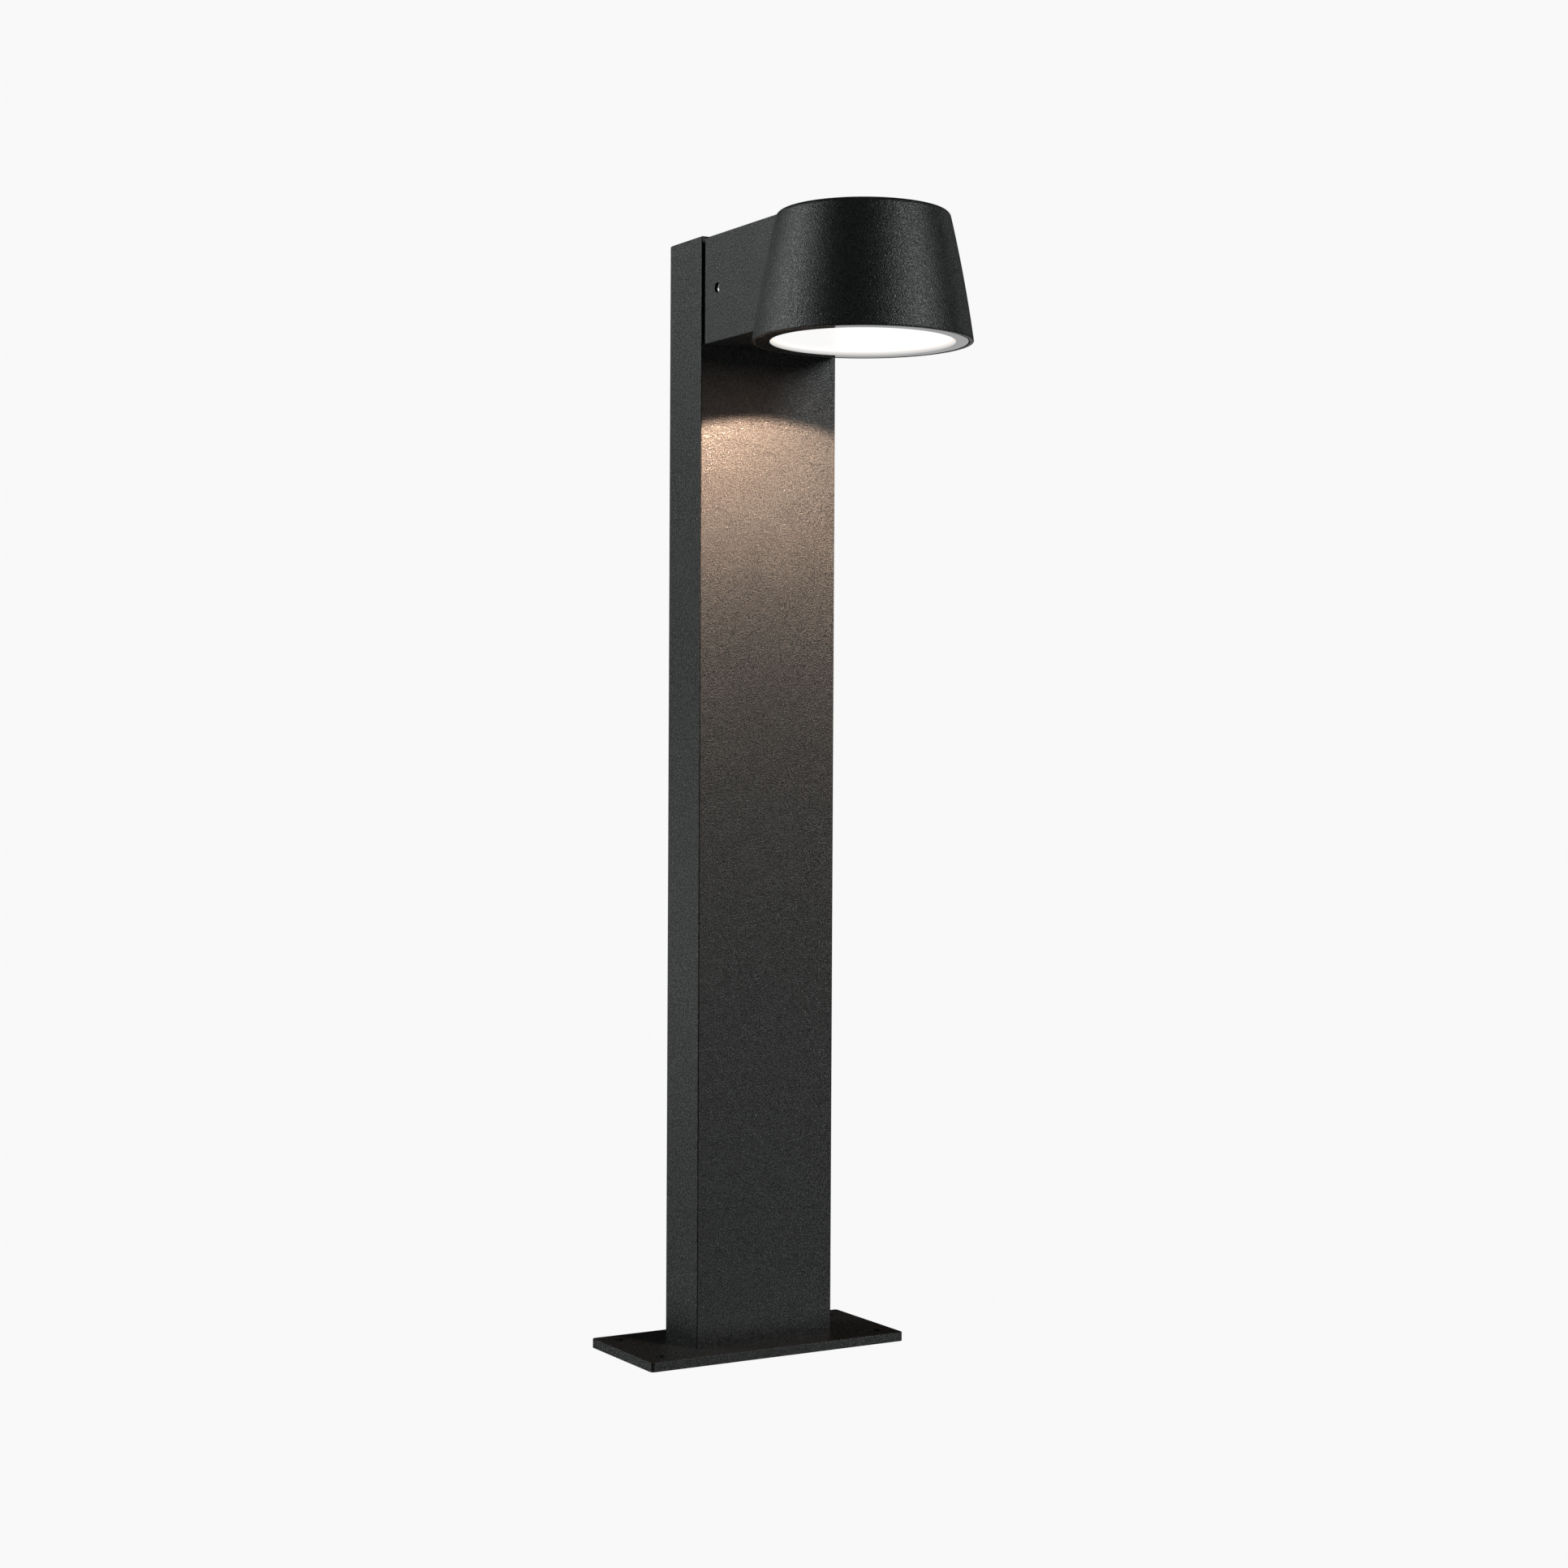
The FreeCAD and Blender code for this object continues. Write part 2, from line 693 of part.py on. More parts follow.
def add_pillars_and_bosses(housing):
    """The casting's inner features: carrier pillars, terminal pad, earth boss, grub screw bosses."""
    for x, y in pillar_places():
        pillar = bar(PILLAR_R, Vector(x, y, CARRIER_TOP), UP, ROOF + PAST - CARRIER_TOP)
        housing = housing.fuse(pillar)
    pad_low = (-BLOCK_X / 2, BLOCK_BACK - TERMINAL_PAD_T, BLOCK_BOTTOM - TERMINAL_PAD_BELOW)
    pad_high = (BLOCK_X / 2, BLOCK_BACK, BLOCK_TOP + TERMINAL_PAD_ABOVE)
    housing = housing.fuse(block(pad_low, pad_high))
    earth_point = Vector(EARTH_X, EARTH_Y, EARTH_Z)
    housing = housing.fuse(bar(EARTH_BOSS_R, earth_point, UP, ARM_CEILING + PAST - EARTH_Z))
    boss_x = BRACKET_X / 2 + GRUB_BOSS_GAP
    for side in (-1, 1):
        start = Vector(side * boss_x, GRUB_Y, GRUB_Z)
        housing = housing.fuse(bar(GRUB_BOSS_R, start, RIGHT * side, ARM_IN_X + PAST - boss_x))
    return housing


def cut_screw_holes(housing):
    """The blind holes for the screws inside, and the grub screws' holes through the sides."""
    for x, y in pillar_places():
        mouth = Vector(x, y, CARRIER_TOP)
        housing = housing.cut(blind_hole(CARRIER_SCREW_R + FIT, mouth, UP, CARRIER_SCREW_L - PAST))
    for x in block_screw_places():
        mouth = Vector(x, BLOCK_BACK, BLOCK_MIDDLE)
        housing = housing.cut(blind_hole(BLOCK_SCREW_R + FIT, mouth, -BACK, BLOCK_SCREW_GRIP + 0.5))
    mouth = Vector(EARTH_X, EARTH_Y, EARTH_Z)
    housing = housing.cut(blind_hole(EARTH_SCREW_R + FIT, mouth, UP, EARTH_SCREW_L - 0.5))
    for side in (-1, 1):
        start = Vector(side * BRACKET_X / 2, GRUB_Y, GRUB_Z)
        housing = housing.cut(through_hole(GRUB_HOLE_R, start, RIGHT * side, 2 * GRUB_L))
        access = Vector(side * (BRACKET_X / 2 + GRUB_L), GRUB_Y, GRUB_Z)
        housing = housing.cut(bar(GRUB_ACCESS_R, access, RIGHT * side, GRUB_L))
    return housing


def lamp_housing():
    """The casting: arm and head in one hollow piece."""
    head = head_outside()
    housing = head.fuse(arm_outside())
    housing = housing.cut(head_inside())
    housing = housing.cut(arm_inside(head))
    housing = cut_screw_holes(add_pillars_and_bosses(housing))
    return housing.removeSplitter()


# ---------------------------------------------------------------- light source and cover


def carrier_plate():
    plate = turned(
        [(0, CARRIER_BOTTOM), (CARRIER_R, CARRIER_BOTTOM), (CARRIER_R, CARRIER_TOP), (0, CARRIER_TOP)],
        HEAD,
    )
    for x, y in pillar_places():
        hole = through_hole(CARRIER_SCREW_R + SCREW_PLAY, Vector(x, y, CARRIER_BOTTOM), UP, CARRIER_T)
        plate = plate.cut(hole)
    for x, y in board_screw_places():
        hole = through_hole(BOARD_SCREW_R + FIT, Vector(x, y, CARRIER_BOTTOM), UP, CARRIER_T)
        plate = plate.cut(hole)
    return plate.cut(through_hole(LEAD_HOLE_R, lead_hole(CARRIER_BOTTOM), UP, CARRIER_T))


def lead_hole(z):
    return Vector(0, LEAD_HOLE_OFFSET - HEAD_REACH, z)


def carrier_screws():
    screws = []
    for x, y in pillar_places():
        seat = Vector(x, y, CARRIER_BOTTOM)
        screws.append(pan_head_screw(seat, UP, CARRIER_SCREW_R, CARRIER_SCREW_L))
    return group(screws)


def board_screw_places():
    places = []
    for angle in (30, 150, 270):
        x = BOARD_SCREW_RING * math.cos(math.radians(angle))
        y = BOARD_SCREW_RING * math.sin(math.radians(angle))
        places.append((x, y - HEAD_REACH))
    return places


def board_layer(radius, bottom, top, lead_r):
    """A disc under the carrier plate with holes for the board's screws, and one for the leads."""
    disc = turned([(0, bottom), (radius, bottom), (radius, top), (0, top)], HEAD)
    for x, y in board_screw_places():
        hole = through_hole(BOARD_SCREW_R + SCREW_PLAY, Vector(x, y, bottom), UP, top - bottom)
        disc = disc.cut(hole)
    if lead_r:
        disc = disc.cut(through_hole(lead_r, lead_hole(bottom), UP, top - bottom))
    return disc


def thermal_pad():
    return board_layer(BOARD_R, BOARD_TOP, CARRIER_BOTTOM, LEAD_HOLE_R - 1)


def led_board():
    return board_layer(BOARD_R, BOARD_BOTTOM, BOARD_TOP, 0)


def board_screws():
    screws = []
    for x, y in board_screw_places():
        seat = Vector(x, y, BOARD_BOTTOM)
        screws.append(pan_head_screw(seat, UP, BOARD_SCREW_R, BOARD_SCREW_L))
    return group(screws)


def led_chips():
    """Rings of rectangular light sources on the board's underside."""
    length, width, height = CHIP
    chips = []
    for count, ring_r in CHIP_RINGS:
        for i in range(count):
            chip = block((-length / 2, -width / 2, 0), (length / 2, width / 2, height))
            chip.translate(Vector(ring_r, 0, BOARD_BOTTOM - height))
            chip.rotate(Vector(), UP, 360 * (i + 0.5) / count)
            chip.translate(HEAD)
            chips.append(chip)
    return group(chips)


def reflector():
    """A white funnel between the carrier plate and the cover that it stands on."""
    top_r = BOARD_R + 0.5
    flange_r = LEDGE_R - 0.2
    mouth_r = flange_r - REFLECTOR_T
    return turned(
        [
            (top_r, CARRIER_BOTTOM),
            (top_r + REFLECTOR_T, CARRIER_BOTTOM),
            (top_r + REFLECTOR_T, BOARD_BOTTOM),
            (flange_r, COVER_TOP + REFLECTOR_FOOT_T),
            (flange_r, COVER_TOP),
            (mouth_r, COVER_TOP),
            (top_r, BOARD_BOTTOM - REFLECTOR_T / 2),
        ],
        HEAD,
    )


def front_cover():
    """An opal disc whose lit window lies a little inside its raised border."""
    window_face = COVER_BOTTOM + WINDOW_DEPTH
    return turned(
        [
            (0, window_face),
            (WINDOW_R, window_face),
            (WINDOW_R, COVER_BOTTOM),
            (COVER_R, COVER_BOTTOM, COVER_EDGE_R),
            (COVER_R, COVER_TOP, COVER_EDGE_R),
            (0, COVER_TOP),
        ],
        HEAD,
    )


def cover_seal():
    """A ring of L section: round the cover's edge and between the cover and the ledge."""
    outer_r = POCKET_R - FIT
    skirt_r = COVER_R + FIT
    skirt_bottom = COVER_BOTTOM + SEAL_INSET
    seat_r = LEDGE_R + 0.1
    return turned(
        [
            (skirt_r, skirt_bottom),
            (outer_r, skirt_bottom),
            (outer_r, COVER_TOP + SEAL_T),
            (seat_r, COVER_TOP + SEAL_T),
            (seat_r, COVER_TOP),
            (skirt_r, COVER_TOP),
        ],
        HEAD,
    )


# ---------------------------------------------------------------- driver and wiring


def led_driver():
    middle_y = DRIVER_REAR - DRIVER_Y / 2
    top = DRIVER_BOTTOM + DRIVER_Z
    return slab(DRIVER_X, DRIVER_Y, DRIVER_CORNER_R, DRIVER_BOTTOM, top, (0, middle_y))


def driver_pad():
    margin = 4.0
    middle_y = DRIVER_REAR - DRIVER_Y / 2
    size_x, size_y = DRIVER_X - 2 * margin, DRIVER_Y - 2 * margin
    return slab(size_x, size_y, 1.0, CARRIER_TOP, DRIVER_BOTTOM, (0, middle_y))


def poles():
    return [-POLE_PITCH, 0.0, POLE_PITCH]


def clamp_places():
    return [(x, z) for x in poles() for z in (BLOCK_MIDDLE - CLAMP_Z, BLOCK_MIDDLE + CLAMP_Z)]


def terminal_block():
    x = BLOCK_X / 2
    body = block((-x, BLOCK_BACK, BLOCK_BOTTOM), (x, BLOCK_FRONT, BLOCK_TOP))
    front_edges = []
    for edge in body.Edges:
        if all(abs(v.Y - BLOCK_FRONT) < 1e-6 for v in edge.Vertexes):
            front_edges.append(edge)
    body = body.makeFillet(BLOCK_EDGE_R, front_edges)
    for pole_x in poles():
        body = body.cut(through_hole(POLE_R, Vector(pole_x, POLE_Y, BLOCK_BOTTOM), UP, BLOCK_Z))
    for clamp_x, z in clamp_places():
        body = body.cut(bar(CLAMP_R + CLAMP_ROOM, Vector(clamp_x, POLE_Y, z), BACK, BLOCK_Y))
    for fixing_x in block_screw_places():
        start = Vector(fixing_x, BLOCK_BACK, BLOCK_MIDDLE)
        body = body.cut(through_hole(BLOCK_SCREW_R + FIT, start, BACK, BLOCK_Y))
        mouth = Vector(fixing_x, BLOCK_FRONT, BLOCK_MIDDLE)
        body = body.cut(blind_hole(FIXING_WELL_R, mouth, -BACK, FIXING_WELL_DEPTH))
    return body


def terminal_inserts():
    inserts = []
    for pole_x in poles():
        bottom = BLOCK_MIDDLE - INSERT_L / 2
        start = Vector(pole_x, POLE_Y, bottom)
        insert = bar(POLE_R - FIT, start, UP, INSERT_L)
        insert = insert.cut(through_hole(WIRE_HOLE_R, start, UP, INSERT_L))
        for clamp_x, z in clamp_places():
            if clamp_x == pole_x:
                insert = insert.cut(bar(CLAMP_R + FIT, Vector(clamp_x, POLE_Y, z), BACK, POLE_R))
        inserts.append(insert)
    return group(inserts)


def terminal_screws():
    """Slotted clamp screws, each with its end at the wire hole."""
    screws = []
    slot_depth = 0.7
    slot_half_width = 0.25
    start_y = POLE_Y + WIRE_HOLE_R + 2 * FIT
    end_y = start_y + CLAMP_L
    for x, z in clamp_places():
        screw = bar(CLAMP_R, Vector(x, start_y, z), BACK, CLAMP_L)
        slot_low = (x - CLAMP_R - PAST, end_y - slot_depth, z - slot_half_width)
        slot_high = (x + CLAMP_R + PAST, end_y + PAST, z + slot_half_width)
        screws.append(screw.cut(block(slot_low, slot_high)))
    return group(screws)


def terminal_fixing_screws():
    screws = []
    length = BLOCK_Y - FIXING_WELL_DEPTH + BLOCK_SCREW_GRIP
    for x in block_screw_places():
        seat = Vector(x, BLOCK_FRONT - FIXING_WELL_DEPTH, BLOCK_MIDDLE)
        screws.append(pan_head_screw(seat, -BACK, BLOCK_SCREW_R, length))
    return group(screws)


def earth_barrel_direction():
    """Level, from the earth point towards the block's earth pole."""
    return Vector(poles()[2] - EARTH_X, POLE_Y - EARTH_Y, 0).normalize()


def earth_barrel_mouth():
    """The centre of the crimp barrel's open end, clear of the screw's head."""
    middle = Vector(EARTH_X, EARTH_Y, EARTH_Z - EARTH_BARREL_R - 0.1)
    return middle + earth_barrel_direction() * (TAG_R - 0.3 + EARTH_BARREL_L)


def earth_tag():
    """A ring tag under the earth boss, with a crimp barrel that the earth lead goes into."""
    middle = Vector(EARTH_X, EARTH_Y, EARTH_Z - TAG_T)
    ring = bar(TAG_R, middle, UP, TAG_T)
    barrel = bar(EARTH_BARREL_R, earth_barrel_mouth(), -earth_barrel_direction(), EARTH_BARREL_L)
    return ring.fuse(barrel).cut(through_hole(EARTH_SCREW_R + FIT, middle, UP, TAG_T))


def earth_screw():
    seat = Vector(EARTH_X, EARTH_Y, EARTH_Z - TAG_T)
    return pan_head_screw(seat, UP, EARTH_SCREW_R, EARTH_SCREW_L)


def lead_grommet():
    """Lines the carrier plate's hole, with its flange on top."""
    bore_r = LEAD_HOLE_R - 1.0
    outer_r = LEAD_HOLE_R - FIT
    flange_r = outer_r + 1.2
    return turned(
        [
            (bore_r, CARRIER_BOTTOM),
            (outer_r, CARRIER_BOTTOM),
            (outer_r, CARRIER_TOP),
            (flange_r, CARRIER_TOP),
            (flange_r, CARRIER_TOP + 1),
            (bore_r, CARRIER_TOP + 1),
        ],
        lead_hole(0),
    )


def lead(name, points, diameter):
    """An insulated lead along points, its bends as large as the runs beside them allow."""
    corners = [(points[0], 0)]
    radii = []
    for before, corner, after in zip(points, points[1:], points[2:]):
        turn = (corner - before).getAngle(after - corner)
        shorter_run = min(before.distanceToPoint(corner), corner.distanceToPoint(after))
        radius = 0.45 * shorter_run / math.tan(turn / 2)
        radii.append(radius)
        corners.append((corner, radius))
    corners.append((points[-1], 0))
    path = rounded_wire(corners, closed=False)
    section = Part.Wire(Part.makeCircle(diameter / 2, points[0], points[1] - points[0]))
    tube = path.makePipeShell([section], True, False)
    expected = math.pi * diameter**2 / 4 * path.Length
    print(f"{name}: {path.Length:.1f} mm long, smallest bend {min(radii):.1f} mm,", end=" ")
    print(f"volume {tube.Volume:.2f} of {expected:.2f} mm3")
    return tube


def supply_lead(name, pole_x, driver_x):
    """From a pole of the block, up over its pad and down into the driver's rear face."""
    driver_z = DRIVER_BOTTOM + SUPPLY_ENTRY_Z
    half_way_x = (pole_x + driver_x) / 2
    half_way_y = (POLE_Y + DRIVER_REAR) / 2
    insert_top = BLOCK_MIDDLE + INSERT_L / 2
    points = [
        Vector(pole_x, POLE_Y, insert_top),
        Vector(pole_x, POLE_Y, LEAD_TOP_Z),
        Vector(half_way_x, half_way_y, LEAD_TOP_Z - 1),
        Vector(driver_x, DRIVER_REAR + SUPPLY_ENTRY_RUN, driver_z),
        Vector(driver_x, DRIVER_REAR, driver_z),
    ]
    return lead(name, points, LEAD_D)


def live_lead():
    return supply_lead("live_lead", poles()[0], LIVE_DRIVER_X)


def neutral_lead():
    return supply_lead("neutral_lead", poles()[1], NEUTRAL_DRIVER_X)


def earth_lead():
    """From the third pole up and across to the earth tag."""
    mouth = earth_barrel_mouth()
    insert_top = BLOCK_MIDDLE + INSERT_L / 2
    points = [
        Vector(poles()[2], POLE_Y, insert_top),
        Vector(poles()[2], POLE_Y, mouth.z),
        mouth,
    ]
    return lead("earth_lead", points, LEAD_D)


def led_lead(name, x):
    """From the driver's rear face, back and down through the carrier plate to the board."""
    exit_z = DRIVER_BOTTOM + LED_EXIT_Z
    turn = lead_hole(exit_z)
    points = [
        Vector(x, DRIVER_REAR, exit_z),
        Vector(x, turn.y, exit_z),
        Vector(x, turn.y, BOARD_TOP),
    ]
    return lead(name, points, LED_LEAD_D)


def led_positive_lead():
    return led_lead("led_positive_lead", LED_LEAD_X)


def led_negative_lead():
    return led_lead("led_negative_lead", -LED_LEAD_X)


# ---------------------------------------------------------------- nodes

NODES = {
    "base_plate": base_plate,
    "base_screws": base_screws,
    "base_grommet": base_grommet,
    "post": post,
    "post_cap": post_cap,
    "mounting_bracket": mounting_bracket,
    "rivet_nuts": rivet_nuts,
    "bracket_screws": bracket_screws,
    "post_grommet": post_grommet,
    "rear_gasket": rear_gasket,
    "lamp_housing": lamp_housing,
    "left_set_screw": lambda: grub_screw(-1),
    "right_set_screw": lambda: grub_screw(1),
    "carrier_plate": carrier_plate,
    "carrier_screws": carrier_screws,
    "thermal_pad": thermal_pad,
    "led_board": led_board,
    "board_screws": board_screws,
    "led_chips": led_chips,
    "reflector": reflector,
    "front_cover": front_cover,
    "cover_seal": cover_seal,
    "led_driver": led_driver,
    "driver_pad": driver_pad,
    "lead_grommet": lead_grommet,
    "terminal_block": terminal_block,
    "terminal_inserts": terminal_inserts,
    "terminal_screws": terminal_screws,
    "terminal_fixing_screws": terminal_fixing_screws,
    "earth_tag": earth_tag,
    "earth_screw": earth_screw,
    "live_lead": live_lead,
    "neutral_lead": neutral_lead,
    "earth_lead": earth_lead,
    "led_positive_lead": led_positive_lead,
    "led_negative_lead": led_negative_lead,
}

os.makedirs("parts", exist_ok=True)
for node, make in NODES.items():
    shape = make()
    if not shape.isValid():
        print(f"{node}: not valid")
    shape.exportStep(f"parts/{node}.step")
    print(f"{node}: {len(shape.Solids)} solids, {shape.Volume:.0f} mm3")
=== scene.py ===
import json
import math

import bmesh
import bpy
from mathutils import Matrix, Vector


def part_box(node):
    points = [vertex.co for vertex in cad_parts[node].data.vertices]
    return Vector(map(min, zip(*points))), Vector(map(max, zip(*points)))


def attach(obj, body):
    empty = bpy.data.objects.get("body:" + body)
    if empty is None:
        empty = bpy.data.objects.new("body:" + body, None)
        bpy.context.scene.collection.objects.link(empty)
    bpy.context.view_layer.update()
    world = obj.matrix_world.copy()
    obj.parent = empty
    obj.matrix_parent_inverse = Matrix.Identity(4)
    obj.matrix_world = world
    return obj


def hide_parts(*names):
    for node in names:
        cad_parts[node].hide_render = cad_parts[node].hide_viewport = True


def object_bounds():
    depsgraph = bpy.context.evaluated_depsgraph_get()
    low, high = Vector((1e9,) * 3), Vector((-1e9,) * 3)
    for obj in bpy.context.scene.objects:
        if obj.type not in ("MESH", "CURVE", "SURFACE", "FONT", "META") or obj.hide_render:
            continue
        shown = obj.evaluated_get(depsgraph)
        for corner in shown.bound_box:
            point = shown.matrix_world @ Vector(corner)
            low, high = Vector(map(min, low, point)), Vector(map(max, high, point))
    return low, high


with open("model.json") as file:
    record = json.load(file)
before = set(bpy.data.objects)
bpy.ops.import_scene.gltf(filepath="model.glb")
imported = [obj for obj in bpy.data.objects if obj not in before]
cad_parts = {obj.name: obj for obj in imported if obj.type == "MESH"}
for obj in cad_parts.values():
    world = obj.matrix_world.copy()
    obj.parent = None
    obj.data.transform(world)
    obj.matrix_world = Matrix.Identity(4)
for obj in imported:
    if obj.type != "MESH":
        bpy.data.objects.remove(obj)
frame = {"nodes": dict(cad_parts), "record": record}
cad_low, cad_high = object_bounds()

# ---------------------------------------------------------------- sizes from the frame (metres)

MM = 0.001
cover_low, cover_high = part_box("front_cover")
HEAD_AXIS = Vector(((cover_low.x + cover_high.x) / 2, (cover_low.y + cover_high.y) / 2, 0))
COVER_R = (cover_high.x - cover_low.x) / 2
BORDER = 6.65 * MM                  # the cover's black border
WINDOW_R = COVER_R - BORDER         # the lit opal window inside it
WINDOW_DEPTH = 1.8 * MM             # the window's face above the border's
WARM_EDGE = 2.5 * MM                # where the window turns warm
COVER_EDGE_R = 0.4 * MM
COVER_SEGMENTS = 192
board_low, board_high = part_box("led_board")

# threaded grub screws
SCREW_SEGMENTS = 60
SCREW_CHAMFER = 0.4 * MM
POINT_SHARE = 0.45                  # the cup's radius over the screw's
PITCH = 0.8 * MM
RINGS_PER_PITCH = 8
THREAD_DEPTH = 0.42 * MM
SOCKET_WIDTH = 2.5 * MM             # across flats
SOCKET_DEPTH = 2.4 * MM
SOCKET_DISH = 0.20 * MM             # the socket's mouth below the screw's end
CUP_DEPTH = 0.4 * MM

# ---------------------------------------------------------------- camera, stage and light

CAMERA_PLACE = Vector((-0.7361, -1.2754, 0.3234))
CAMERA_YAW = math.radians(30.694)
CAMERA_PITCH = math.radians(-0.620)
CAMERA_ROLL = math.radians(0.280)
CAMERA_LENS = 61.73
SENSOR = 36.0

PALE = 0.945                # what the camera sees of floor and backdrop
STAGE_R = 8.0
BLACK = (0.0, 0.0, 0.0)

# each softbox: azimuth and elevation of its place, width, height and watts
SOFTBOXES = {
    "rear_left_softbox": (-166.0, 20.0, 0.5, 1.0, 1.5),
    "rear_left_high_softbox": (-140.0, 25.0, 0.8, 1.25, 1.6),
    "left_low_softbox": (-125.0, -24.0, 0.8, 1.25, 14.8),
    "left_high_softbox": (-125.0, 25.0, 0.8, 1.25, 15.3),
    "side_left_high_softbox": (-112.0, 25.0, 0.8, 1.25, 14.2),
    "right_high_softbox": (28.0, 25.0, 0.8, 1.25, 26.0),
    "side_right_low_softbox": (40.0, -24.0, 0.8, 1.25, 7.5),
    "side_right_high_softbox": (40.0, 25.0, 0.8, 1.25, 3.6),
    "rear_right_softbox": (112.0, 20.0, 0.5, 1.0, 0.8),
}
SOFTBOX_DISTANCE = 3.0
SOFTBOX_COLOUR = (0.97, 1.0, 1.0)
AIM_SHARE = 0.6             # the height the softboxes aim at, over the object's

# the white card on the ground behind the object
CARD_GLOW = 0.83
CARD_HALF_WIDTH = 3.0
CARD_FRONT = 1.2
CARD_HALF_DEPTH = 2.5
CARD_Z = -0.01

# the lamp in the head, and the glow of its window
LED_COLOUR = (1.0, 0.67, 0.47)
LED_WATTS = 12.8
LED_Z = board_low.z - 1 * MM
LED_HALF_ANGLE = math.radians(60.4)
LED_EDGE_BLEND = 0.11
LED_SIZE = 1.5 * MM
LED_WIDE_COS = 0.79         # inside this angle the beam dims towards straight down
LED_NARROW_COS = 0.98       # here it has dimmed to the centre's share
LED_CENTRE_SHARE = 0.11
GLOW_WATTS = 0.12
GLOW_COLOUR = (1.0, 0.6, 0.38)
GLOW_GAP = 0.1 * MM         # below the cover


def link(o):
    """Puts an object in the scene, and hands it back."""
    bpy.context.scene.collection.objects.link(o)
    return o


def make_camera():
    """A camera at the photograph's viewing angle."""
    forward = Vector((math.sin(CAMERA_YAW), math.cos(CAMERA_YAW), 0))
    right = Vector((math.cos(CAMERA_YAW), -math.sin(CAMERA_YAW), 0))
    up = Vector((0, 0, 1))
    ahead = forward * math.cos(CAMERA_PITCH) + up * math.sin(CAMERA_PITCH)
    above = up * math.cos(CAMERA_PITCH) - forward * math.sin(CAMERA_PITCH)
    across = right * math.cos(CAMERA_ROLL) + above * math.sin(CAMERA_ROLL)
    above = above * math.cos(CAMERA_ROLL) - right * math.sin(CAMERA_ROLL)
    camera = link(bpy.data.objects.new("camera", bpy.data.cameras.new("camera")))
    turn = Matrix((across, above, -ahead)).transposed().to_4x4()
    camera.matrix_world = Matrix.Translation(CAMERA_PLACE) @ turn
    camera.data.lens = CAMERA_LENS
    camera.data.sensor_width = SENSOR
    camera.data.clip_start = 0.01
    camera.data.clip_end = 4 * STAGE_R
    bpy.context.scene.camera = camera


def direction(azimuth, elevation):
    """The direction from the object to a place at that azimuth and elevation."""
    a = math.radians(azimuth)
    e = math.radians(elevation)
    return Vector((math.sin(a) * math.cos(e), -math.cos(a) * math.cos(e), math.sin(e)))


def make_softbox(name, azimuth, elevation, width, height, watts):
    """A rectangular light that faces the object, and that the camera does not see."""
    lamp = bpy.data.lights.new(name, "AREA")
    lamp.shape = "RECTANGLE"
    lamp.energy = watts
    lamp.size = width
    lamp.size_y = height
    lamp.color = SOFTBOX_COLOUR
    o = link(bpy.data.objects.new(name, lamp))
    aim = Vector((0, 0, cad_high.z * AIM_SHARE))
    o.visible_camera = False
    o.location = aim + direction(azimuth, elevation) * SOFTBOX_DISTANCE
    o.rotation_mode = "QUATERNION"
    o.rotation_quaternion = (aim - o.location).to_track_quat("-Z", "Y")


def make_led_lamp():
    """The light that leaves the head: a wide cone that follows the cosine, dimmer straight down."""
    lamp = bpy.data.lights.new("led_lamp", "SPOT")
    lamp.energy = LED_WATTS
    lamp.color = LED_COLOUR
    lamp.spot_size = 2 * LED_HALF_ANGLE
    lamp.spot_blend = LED_EDGE_BLEND
    lamp.shadow_soft_size = LED_SIZE
    lamp.use_nodes = True
    nodes = lamp.node_tree.nodes
    links = lamp.node_tree.links
    aim = nodes.new("ShaderNodeTexCoord")
    parts = nodes.new("ShaderNodeSeparateXYZ")
    steep = nodes.new("ShaderNodeMath")
    steep.operation = "ABSOLUTE"
    shape = nodes.new("ShaderNodeMapRange")
    shape.inputs["From Min"].default_value = LED_WIDE_COS
    shape.inputs["From Max"].default_value = LED_NARROW_COS
    shape.inputs["To Min"].default_value = 1.0
    shape.inputs["To Max"].default_value = LED_CENTRE_SHARE
    links.new(aim.outputs["Normal"], parts.inputs[0])
    links.new(parts.outputs["Z"], steep.inputs[0])
    links.new(steep.outputs[0], shape.inputs["Value"])
    cosine = nodes.new("ShaderNodeMath")
    cosine.operation = "MULTIPLY"
    links.new(steep.outputs[0], cosine.inputs[0])
    links.new(shape.outputs["Result"], cosine.inputs[1])
    links.new(cosine.outputs[0], nodes["Emission"].inputs["Strength"])
    o = link(bpy.data.objects.new("led_lamp", lamp))
    o.location = Vector((HEAD_AXIS.x, HEAD_AXIS.y, LED_Z))
    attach(o, "lamp_unit")


def make_window_glow():
    """The faint warm light that the window itself throws sideways."""
    lamp = bpy.data.lights.new("window_glow", "AREA")
    lamp.shape = "DISK"
    lamp.size = 2 * WINDOW_R
    lamp.energy = GLOW_WATTS
    lamp.color = GLOW_COLOUR
    o = link(bpy.data.objects.new("window_glow", lamp))
    o.location = Vector((HEAD_AXIS.x, HEAD_AXIS.y, cover_low.z - GLOW_GAP))
    o.visible_camera = False
    o.visible_glossy = False
    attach(o, "lamp_unit")


